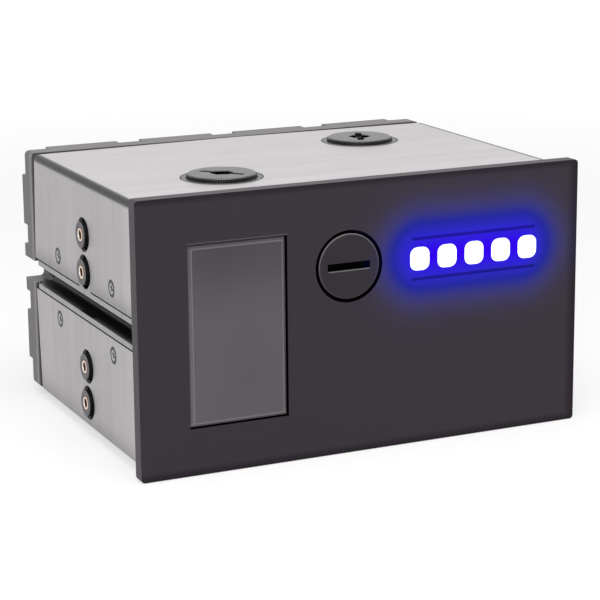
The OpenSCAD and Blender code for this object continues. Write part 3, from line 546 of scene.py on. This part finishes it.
def cover_grey():
    """Moulded grey cover with a fine texture, a painted highlight along its front edge and painted shade in
    its channel.
    """
    f = Finish("cover_grey")
    fine = f.noise(0.3)
    broad = f.noise(16, detail=3)
    # A painted highlight along the front edge of the sides.
    painted_edge_highlight = (f.y - cover_front - 0.3).fade(1.5) * abs(f.x).rise(half_w - 0.6, half_w - 0.2)
    colours = f.blend(broad, (0.07, 0.062, 0.069), (0.105, 0.094, 0.103))
    colours = f.blend(painted_edge_highlight * 0.75, colours, (0.3, 0.28, 0.295))
    # The channel is painted dark as shade.
    in_channel = abs(f.height).fall(CHANNEL_HALF_H + 0.55, CHANNEL_HALF_H + 0.75)
    in_channel = in_channel * abs(f.x).fall(half_w - 5, half_w)
    return f.skin(painted_black=in_channel * 0.75, Base_Color=colours, Roughness=0.4 + (fine - 0.5) * 0.12,
                  Normal=f.bump(fine, 0.015, 0.6))


def pump_black():
    """Glass-filled black plastic."""
    return moulded("pump_black", (0.022, 0.021, 0.023), 0.46, grain=0.35, depth=0.02, mottle=0.2)


def black_rubber():
    """Matt rubber, lighter on the faces of the side mounts, and painted black as shade below those faces,
    deep in the pockets.
    """
    f = Finish("black_rubber")
    rubber_tone = f.noise(2.2, detail=3)
    fine = f.noise(0.15)
    face = abs(f.x).rise(MOUNT_FACE_X, MOUNT_FACE_X + 0.15)
    colours = f.blend(rubber_tone, (0.012, 0.011, 0.012), (0.04, 0.037, 0.04))
    colours = f.blend(face, colours, f.blend(rubber_tone, (0.14, 0.13, 0.138), (0.22, 0.21, 0.218)))
    # Below its face the rubber is painted black as shade.
    return f.skin(painted_black=(1 - face) * 0.8, Base_Color=colours, Roughness=0.6 + rubber_tone * 0.1,
                  Normal=f.bump(fine, 0.01, 0.6))


def nickel_brass():
    """Nickel-plated brass insert: pale face, coppery outer edge, painted shade in its threaded hole and
    deeper in its pocket.
    """
    f = Finish("nickel_brass")
    warm = f.noise(0.9, detail=2).rise(0.3, 0.7)
    radius = f.nearest(insert_places)
    face = f.blend(warm * 0.6, (0.95, 0.93, 0.9), (0.95, 0.66, 0.46))
    rimmed = f.blend(radius.rise(1.75, 2.1), face, (0.85, 0.5, 0.34))
    # Painted shade in the threaded hole.
    colours = f.blend(radius.fall(1.35, 1.6), rimmed, (0.12, 0.045, 0.02))
    # Deeper in its pocket the insert is painted black as shade.
    return f.skin(painted_black=abs(f.x).fall(72.0, 72.8) * 0.8, Base_Color=colours, Metallic=0.9,
                  Roughness=0.2 + warm * 0.14)


def faced_steel():
    """Countersunk screw with a bright flat face; the rest of the screw, with its cross recess, is painted
    black as shade.
    """
    f = Finish("faced_steel")
    radius = f.nearest(side_screw_places)
    face_tone = f.noise(0.8, detail=3)
    bright = f.blend(face_tone, (0.36, 0.345, 0.355), (0.5, 0.485, 0.495))
    outside = abs(f.x).rise(half_w - 0.35, half_w - 0.25)
    face = radius.fall(1.65, 1.85) * outside
    # All but the flat face is painted black as shade.
    return f.skin(painted_black=1 - face, Base_Color=bright, Metallic=0.4, Roughness=0.3 + face_tone * 0.1)


def knurl_black():
    """The crests of the knurl on a plug, black as painted shade, like the plug's rim below its face."""
    return moulded("knurl_black", (0.014, 0.013, 0.014), 0.42, grain=0.3)


def circuit_board():
    """Green solder mask with copper pads and thin traces."""
    f = Finish("circuit_board")
    pads = 1 - f.cells(2.2).rise(0.16, 0.2)
    traces = 1 - f.cells(3.1, "DISTANCE_TO_EDGE").rise(0.03, 0.06)
    mask = f.blend(traces * 0.7, (0.012, 0.1, 0.045), (0.03, 0.2, 0.09))
    colours = f.blend(pads * 0.9, mask, (0.72, 0.68, 0.6))
    return f.skin(Base_Color=colours, Metallic=pads * 0.8, Roughness=0.35 - pads * 0.1,
                  Normal=f.bump(traces + pads, 0.02, 0.5))


def led_phosphor():
    """Yellow phosphor under clear resin."""
    f = Finish("led_phosphor")
    grains = f.noise(0.2)
    colours = f.blend(grains, (0.85, 0.68, 0.18), (0.95, 0.86, 0.4))
    return f.skin(Base_Color=colours, Roughness=0.2, Coat_Weight=0.6)


def copper_wire():
    """Enamelled copper, wound in close turns."""
    f = Finish("copper_wire")
    turns = abs(f.math("SINE", (f.y + (f.x + f.z) * 0.05) * (math.pi / 0.5)))
    colours = f.blend(turns, (0.22, 0.07, 0.025), (0.8, 0.34, 0.14))
    return f.skin(Base_Color=colours, Metallic=0.85, Roughness=0.3, Coat_Weight=0.4,
                  Normal=f.bump(turns, 0.12))


def laminations():
    """Stacked stator sheets."""
    f = Finish("laminations")
    sheets = f.math("SINE", f.y * (math.tau / 0.5)).rise(-0.3, 0.3)
    return f.skin(Base_Color=f.blend(sheets, (0.16, 0.16, 0.17), (0.5, 0.5, 0.52)), Metallic=0.9,
                  Roughness=0.45 - sheets * 0.1, Normal=f.bump(sheets, 0.04, 0.7))


def ferrite():
    """Pressed ferrite with pores."""
    f = Finish("ferrite")
    pores = f.cells(0.5).rise(0.1, 0.4)
    return f.skin(Base_Color=f.blend(pores, (0.02, 0.02, 0.024), (0.075, 0.075, 0.085)), Metallic=0.2,
                  Roughness=0.6 - pores * 0.12, Normal=f.bump(pores, 0.03, 0.6))


def capacitor_can():
    """Aluminium cans in a printed sleeve with a pale polarity band."""
    f = Finish("capacitor_can")
    band = (abs(f.x) - 11).rise(-0.1, 0.1)
    return f.skin(Base_Color=f.blend(band, (0.02, 0.03, 0.09), (0.6, 0.62, 0.66)), Metallic=0.1,
                  Roughness=0.3 + f.noise(0.6) * 0.1, Coat_Weight=0.3)


def metal_cup():
    """Deep-drawn stainless steel with draw lines along the depth."""
    f = Finish("stainless")
    lines = f.noise(0.25, (1, 40, 1))
    return f.skin(Base_Color=f.blend(lines, (0.56, 0.56, 0.57), (0.74, 0.74, 0.75)), Metallic=1.0,
                  Roughness=0.22 + lines * 0.14, Normal=f.bump(lines, 0.008, 0.4))


def ceramic():
    """Polished ceramic with the faintest cloud."""
    f = Finish("ceramic")
    return f.skin(Base_Color=f.blend(f.noise(1.5), (0.86, 0.85, 0.81), (0.95, 0.94, 0.91)), Roughness=0.08)


SLOTS = {
    "bezel_black": bezel_black,
    "smoked_acrylic": smoked_acrylic,
    "black_rubber": black_rubber,
    "light_diffuser": light_diffuser,
    "circuit_board": circuit_board,
    "led_phosphor": led_phosphor,
    "connector_white": lambda: moulded("connector_white", (0.78, 0.78, 0.74), 0.4, 0.4, 0.01, 0.04),
    "zinc_steel": lambda: plated("zinc_steel", (0.6, 0.61, 0.64), 0.26),
    "cap_black": cap_black,
    "brushed_shell": brushed_shell,
    "dark_steel": lambda: plated("dark_steel", (0.05, 0.05, 0.054), 0.34),
    "nickel_brass": nickel_brass,
    "tank_black": tank_black,
    "plug_grey": plug_grey,
    "cover_grey": cover_grey,
    "natural_plastic": lambda: moulded("natural_plastic", (0.72, 0.71, 0.67), 0.42, 0.5, 0.01, 0.05),
    "pump_black": pump_black,
    "clamp_aluminium": lambda: turned_metal("clamp_aluminium", (0.56, 0.56, 0.58), 0.26, pump),
    "stainless": metal_cup,
    "ceramic": ceramic,
    "carbon_bearing": lambda: moulded("carbon_bearing", (0.03, 0.03, 0.032), 0.5, 0.3, 0.02, 0.25),
    "ferrite": ferrite,
    "laminations": laminations,
    "copper_wire": copper_wire,
    "capacitor_can": capacitor_can,
    "pot_blue": lambda: moulded("pot_blue", (0.02, 0.06, 0.32), 0.36, 0.3, 0.01, 0.1),
    "dial_red": lambda: moulded("dial_red", (0.5, 0.02, 0.012), 0.36, 0.3, 0.01, 0.1),
}
insert_places = islands("mount_inserts_left")
side_screw_places = islands("shell_screws_left")
finishes = {name: make() for name, make in SLOTS.items()}
faced = faced_steel()
knurled = knurl_black()
slot_of = {part["node"]: part["material_slot"] for part in frame["record"]["subparts"]}
body_of = {node: body for body, nodes in frame["record"]["behaviour"]["bodies"].items() for node in nodes}


# ------------------------------------------------------------------ pieces


def soften(bm, width, where=None, angle=35, segments=2):
    """Rounds the sharp edges that lie wholly where the test says."""
    chosen = [
        e for e in bm.edges
        if len(e.link_faces) == 2 and e.calc_face_angle() > math.radians(angle)
        and (where is None or all(where(v.co / MM) for v in e.verts))
    ]
    bmesh.ops.bevel(bm, geom=chosen, offset=width * MM, offset_type="OFFSET", segments=segments, profile=0.5,
                    affect="EDGES", clamp_overlap=True)


def finished(name, mesh, slot, body, replaced=(), smooth=40, finish=None):
    """Turns a mesh into a piece that rides on a body, with the finish of its slot or one of its own."""
    for polygon in mesh.polygons:
        polygon.use_smooth = True
    mesh.set_sharp_from_angle(angle=math.radians(smooth))
    mesh.materials.clear()
    mesh.materials.append(finish or finishes[slot])
    made = bpy.data.objects.new(name, mesh)
    bpy.context.scene.collection.objects.link(made)
    made.modifiers.new("flat_faces", "WEIGHTED_NORMAL").keep_sharp = True
    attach(made, body)
    if replaced:
        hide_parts(*replaced)
    return made


def dressed(node, bm, finish=None):
    """The piece that stands for one CAD node."""
    mesh = bpy.data.meshes.new(node + "_dressed")
    bm.to_mesh(mesh)
    bm.free()
    return finished(node + "_dressed", mesh, slot_of[node], body_of[node], [node], finish=finish)


def widen(bm, axis, centres, old_r, new_r, low=-1e3, high=1e3):
    """Moves a round wall to another radius, between two places along its axis, to make room for a thread."""
    along, first, second = {"x": (0, 1, 2), "y": (1, 0, 2), "z": (2, 0, 1)}[axis]
    for vert in bm.verts:
        for centre in centres:
            a = vert.co[first] - centre[first] * MM
            b = vert.co[second] - centre[second] * MM
            if abs(math.hypot(a, b) / MM - old_r) < 0.06 and low < vert.co[along] / MM < high:
                vert.co[first] += a * (new_r / old_r - 1)
                vert.co[second] += b * (new_r / old_r - 1)


EDGES = {
    "front_bezel": 0.3,
    "window_pane": 0.12,
    "fill_cap": 0.3,
    "port_plug_left": 0.2,
    "port_plug_right": 0.2,
    "upper_shell": 0.15,
    "lower_shell": 0.15,
    "tank_body": 0.25,
    "rear_cover": 0.4,
    "mount_grommets_left": 0.4,
    "mount_grommets_right": 0.4,
    "mount_inserts_left": 0.3,
    "mount_inserts_right": 0.3,
    "shell_screws_left": 0.15,
    "shell_screws_right": 0.15,
    "cover_screws": 0.25,
    "clamp_ring_screws": 0.25,
    "pump_clamp_ring": 0.3,
    "pump_housing": 0.4,
    "cable_gland": 0.25,
    "gland_nut": 0.15,
    "speed_dial": 0.15,
    "light_guide": 0.1,
}
FINISH_OF = {"shell_screws_left": faced, "shell_screws_right": faced}


def in_front_opening(place):
    """Whether a point lies on the rim of the window, the cap's hole or a lit segment."""
    in_window = abs(place.x - window.x) < WINDOW_HALF[0] + 1 and abs(place.z - window.z) < WINDOW_HALF[1] + 1
    in_cap = math.hypot(place.x - cap.x, place.z - cap.z) < CAP_HOLE_R + 1
    in_light = abs(place.x - light.x) < 24 and abs(place.z - light.z) < 8
    return in_window or in_cap or in_light


for node, width in EDGES.items():
    bm = merged(node)
    if node == "front_bezel":
        soften(bm, 0.1, in_front_opening)
        soften(bm, width, lambda place: not in_front_opening(place))
    elif node == "fill_cap":
        widen(bm, "y", [cap], PIPE_R, PIPE_CORE_R)
        soften(bm, width)
    elif node.startswith("port_plug"):
        widen(bm, "z", [plugs[node.split("_")[2]]], PIPE_R, PIPE_CORE_R)
        soften(bm, width)
    elif node == "rear_cover":
        widen(bm, "y", ports, PIPE_CORE_R, PIPE_R, cover_front, can_back)
        soften(bm, width, lambda place: place.y > cover_front + 0.5 or abs(place.x) > half_w - 0.5)
    elif node.startswith("mount_inserts"):
        widen(bm, "x", insert_places, INSERT_CORE_R, INSERT_OPEN_R)
        soften(bm, width)
    else:
        soften(bm, width)
    dressed(node, bm, FINISH_OF.get(node))
for node, thing in frame["nodes"].items():
    if node not in EDGES:
        thing.data.materials.clear()
        thing.data.materials.append(finishes[slot_of[node]])


# ------------------------------------------------------------------ repeated details


class Growth(Nodes):
    """A Geometry Nodes tree that puts a shape on every point of a mesh, with named inputs for sizes."""

    def __init__(self, name, inputs):
        super().__init__(bpy.data.node_groups.new(name, "GeometryNodeTree"))
        face = self.tree.interface
        face.new_socket("Points", in_out="INPUT", socket_type="NodeSocketGeometry")
        face.new_socket("Geometry", in_out="OUTPUT", socket_type="NodeSocketGeometry")
        self.ids = {}
        for label, kind in {**inputs, "Turn": "Vector", "Finish": "Material"}.items():
            made = face.new_socket(label, in_out="INPUT", socket_type="NodeSocket" + kind)
            self.ids[label] = made.identifier
        self.given = self.node("NodeGroupInput").outputs

    def spread(self, points, shape):
        """Copies of a shape on points round the middle, each turned to face outwards."""
        place = self.out("GeometryNodeInputPosition")
        outward = self.out("FunctionNodeAlignRotationToVector", {"axis": "X"}, {"Vector": place})
        sockets = {"Points": points, "Instance": shape, "Rotation": outward}
        return self.out("GeometryNodeRealizeInstances", {}, {
            "Geometry": self.out("GeometryNodeInstanceOnPoints", {}, sockets)})

    def close(self, shape):
        """Puts the shape on the points and ends the tree."""
        sockets = {"Points": self.given["Points"], "Instance": shape, "Rotation": self.given["Turn"]}
        placed = self.out("GeometryNodeInstanceOnPoints", {}, sockets)
        solid = self.out("GeometryNodeRealizeInstances", {}, {"Geometry": placed})
        sockets = {"Geometry": solid, "Material": self.given["Finish"]}
        self.node("NodeGroupOutput", {}, {0: self.out("GeometryNodeSetMaterial", {}, sockets)})
        return self

    def grow(self, name, places, slot, body, values, finish=None):
        """The plain mesh that the tree makes at some places, given in millimetres."""
        seed = bpy.data.meshes.new(name + "_points")
        seed.from_pydata([place * MM for place in places], [], [])
        holder = bpy.data.objects.new(name + "_points", seed)
        bpy.context.scene.collection.objects.link(holder)
        modifier = holder.modifiers.new("growth", "NODES")
        modifier.node_group = self.tree
        for label, value in {**values, "Finish": finish or finishes[slot]}.items():
            modifier[self.ids[label]] = value
        whole = holder.evaluated_get(bpy.context.evaluated_depsgraph_get())
        mesh = bpy.data.meshes.new_from_object(whole)
        bpy.data.objects.remove(holder)
        return finished(name, mesh, slot, body, finish=finish)


def ridge_rings():
    """Rings of small ridges that point away from the middle, as in a knurl."""
    g = Growth("ridge_rings", {"Count": "Int", "Radius": "Float", "Ridge": "Vector"})
    ring = g.out("GeometryNodeMeshCircle", {}, {"Vertices": g.given["Count"], "Radius": g.given["Radius"]})
    ridge = g.out("GeometryNodeMeshCube", {}, {"Size": g.given["Ridge"]})
    return g.close(g.spread(ring, ridge))


def threads():
    """Helical ridges about the points."""
    g = Growth("threads", {
        "Turns": "Float", "Radius": "Float", "Length": "Float", "Ridge": "Float", "Steps": "Int"})
    helix = g.out("GeometryNodeCurveSpiral", {}, {
        "Resolution": g.given["Steps"], "Rotations": g.given["Turns"], "Start Radius": g.given["Radius"],
        "End Radius": g.given["Radius"], "Height": g.given["Length"]})
    upright = g.out("GeometryNodeSetCurveNormal", {"mode": "Z_UP"}, {"Curve": helix})
    section = g.out("GeometryNodeCurvePrimitiveCircle", {}, {"Resolution": 4, "Radius": g.given["Ridge"]})
    sockets = {"Curve": upright, "Profile Curve": section, "Fill Caps": True}
    return g.close(g.out("GeometryNodeCurveToMesh", {}, sockets))


def tick_arcs():
    """Short bars on an arc about the points."""
    g = Growth("tick_arcs", {
        "Count": "Int", "Radius": "Float", "Tick": "Vector", "Start": "Float", "Sweep": "Float"})
    arc = g.out("GeometryNodeCurveArc", {"mode": "RADIUS"}, {
        "Resolution": g.given["Count"], "Radius": g.given["Radius"], "Start Angle": g.given["Start"],
        "Sweep Angle": g.given["Sweep"]})
    points = g.out("GeometryNodeCurveToPoints", {"mode": "EVALUATED"}, {"Curve": arc})
    bar = g.out("GeometryNodeMeshCube", {}, {"Size": g.given["Tick"]})
    return g.close(g.spread(points, bar))


BACKWARDS = (-math.pi / 2, 0, 0)
knurl = ridge_rings()
thread = threads()
ticks = tick_arcs()


def raised(places, **shift):
    """Places moved along an axis, or set at one place along it."""
    moved = [place.copy() for place in places]
    for place in moved:
        for axis, value in shift.items():
            setattr(place, axis, value)
    return moved


def pipe_thread(name, places, slot, body, turns, radius, turn=(0, 0, 0)):
    thread.grow(name, places, slot, body, {
        "Turns": turns, "Radius": radius * MM, "Length": turns * PIPE_PITCH * MM, "Ridge": PIPE_RIDGE * MM,
        "Steps": 32, "Turn": Vector(turn)})


for side, plug in plugs.items():
    knurl.grow(f"plug_knurl_{side}", raised([plug], z=plug_top - 0.95), "plug_grey", f"{side}_plug", {
        "Count": 84, "Radius": (PLUG_R + 0.02) * MM, "Ridge": Vector((0.3, 0.42, 1.1)) * MM}, knurled)
    pipe_thread(f"plug_thread_{side}", raised([plug], z=top - 8.6), "plug_grey", f"{side}_plug", 5.2,
                PIPE_CORE_R + 0.02)
pipe_thread("cap_thread", raised([cap], y=cap_back - 0.6), "cap_black", "fill_cap", 5.2, PIPE_CORE_R + 0.02,
            (math.pi / 2, 0, 0))
pipe_thread("port_threads", raised(ports, y=front + PORT_DEPTH), "cover_grey", "housing", 4.8,
            PIPE_R - 0.02, BACKWARDS)
for side, sign in (("left", -1), ("right", 1)):
    thread.grow(f"insert_threads_{side}", raised(insert_places, x=sign * 67.9), "nickel_brass", "housing", {
        "Turns": 9.6, "Radius": 1.43 * MM, "Length": 4.8 * MM, "Ridge": 0.18 * MM, "Steps": 14,
        "Turn": Vector((0, sign * math.pi / 2, 0))})
for node in ("cover_screws", "clamp_ring_screws"):
    heads = raised(islands(node), y=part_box(node)[1].y / MM - 1.5)
    knurl.grow(node + "_knurl", heads, slot_of[node], "housing", {
        "Count": 30, "Radius": 2.74 * MM, "Ridge": Vector((0.14, 0.3, 2.1)) * MM, "Turn": Vector(BACKWARDS)})
ticks.grow("dial_ticks", raised([dial], y=can_back), "natural_plastic", "housing", {
    "Count": 17, "Radius": 5.3 * MM, "Tick": Vector((0.9, 0.22, 0.2)) * MM, "Start": math.radians(-30),
    "Sweep": math.radians(240), "Turn": Vector(BACKWARDS)})


def numeral(value, place):
    """A raised numeral on the back of the pump, read from behind."""
    curve = bpy.data.curves.new("numeral", "FONT")
    curve.body = str(value)
    curve.size = 2.6 * MM
    curve.extrude = 0.08 * MM
    curve.align_x = "CENTER"
    curve.align_y = "CENTER"
    holder = bpy.data.objects.new("numeral", curve)
    bpy.context.scene.collection.objects.link(holder)
    mesh = bpy.data.meshes.new_from_object(holder.evaluated_get(bpy.context.evaluated_depsgraph_get()))
    bpy.data.objects.remove(holder)
    mesh.transform(Matrix.Translation(place * MM) @ Euler((math.pi / 2, 0, math.pi)).to_matrix().to_4x4())
    finished(f"numeral_{value}", mesh, "natural_plastic", "housing")


for index in range(5):
    angle = math.radians(-120 + 60 * index)
    across = dial.x - NUMERAL_RING_R * math.sin(angle)
    numeral(index + 1, Vector((across, can_back, dial.z + NUMERAL_RING_R * math.cos(angle))))


# ------------------------------------------------------------------ studio


def ray_share(tree):
    """1 for rays that show the surroundings: from the camera, off gloss, and through glass."""
    path = tree.node("ShaderNodeLightPath")
    names = ("Is Camera Ray", "Is Glossy Ray", "Is Transmission Ray")
    seen, glossy, through = (Field(tree, path.outputs[n]) for n in names)
    return seen.above(glossy).above(through)


def studio_world():
    """Even light from all round, which shows as white."""
    world = bpy.data.worlds.new("studio")
    world.use_nodes = True
    sky = Nodes(world.node_tree)
    lit = sky.out("ShaderNodeBackground", {}, {"Color": WHITE, "Strength": 0.35})
    white = sky.out("ShaderNodeBackground", {}, {"Color": WHITE, "Strength": 1})
    mix = sky.out("ShaderNodeMixShader", {}, {0: ray_share(sky), 1: lit, 2: white})
    sky.node("ShaderNodeOutputWorld", {}, {0: mix})
    bpy.context.scene.world = world


def white_floor():
    """A white floor that keeps the object's soft shadow, and is brighter far from it."""
    f = Finish("floor_white")
    plain = f.out("ShaderNodeBsdfDiffuse", {}, {"Color": (0.32, 0.32, 0.32)})
    bright = f.out("ShaderNodeBsdfDiffuse", {}, {"Color": (0.35, 0.35, 0.35)})
    far = f.apart(f.x, f.y).rise(250, 1300)
    lift = f.out("ShaderNodeEmission", {}, {"Color": f.blend(far, (0.62, 0.62, 0.62), (1.05, 1.05, 1.05))})
    seen = f.out("ShaderNodeAddShader", {}, {0: bright, 1: lift})
    mix = f.out("ShaderNodeMixShader", {}, {0: ray_share(f), 1: plain, 2: seen})
    f.node("ShaderNodeOutputMaterial", {}, {0: mix})
    mesh = bpy.data.meshes.new("floor")
    reach = 4.0
    corners = [(-reach, -reach, 0), (reach, -reach, 0), (reach, reach, 0), (-reach, reach, 0)]
    mesh.from_pydata(corners, [], [(0, 1, 2, 3)])
    mesh.materials.append(f.material)
    floor = bpy.data.objects.new("floor", mesh)
    floor.location.z = -0.0002
    bpy.context.scene.collection.objects.link(floor)


def lamp(name, place, width, watts):
    """A square soft lamp aimed at the object."""
    data = bpy.data.lights.new(name, "AREA")
    data.shape = "SQUARE"
    data.size = width
    data.energy = watts
    made = bpy.data.objects.new(name, data)
    made.location = place
    made.rotation_euler = (Vector(LAMP_AIM) - Vector(place)).to_track_quat("-Z", "Y").to_euler()
    bpy.context.scene.collection.objects.link(made)


def camera():
    """The camera looks down and to the right from the front left, from a little over half a metre."""
    azimuth = math.radians(-24.85)
    elevation = math.radians(13.45)
    roll = math.radians(-0.5)
    data = bpy.data.cameras.new("camera")
    data.sensor_width = 36
    data.lens = 126.6
    data.shift_x = -0.0113
    data.shift_y = -0.0248
    data.clip_start = 0.05
    made = bpy.data.objects.new("camera", data)
    made.location = (-0.27722, -0.63035, 0.20064)
    turn = Matrix.Rotation(azimuth, 4, "Z") @ Matrix.Rotation(math.pi / 2 - elevation, 4, "X")
    made.rotation_euler = (turn @ Matrix.Rotation(roll, 4, "Z")).to_euler()
    bpy.context.scene.collection.objects.link(made)
    bpy.context.scene.camera = made


studio_world()
white_floor()
lamp("overhead", (-0.1, -0.35, 1.1), 0.9, 11)
lamp("front_left", (-0.7, -1.1, 0.55), 0.7, 7)
camera()
bpy.context.scene.view_settings.view_transform = "Standard"
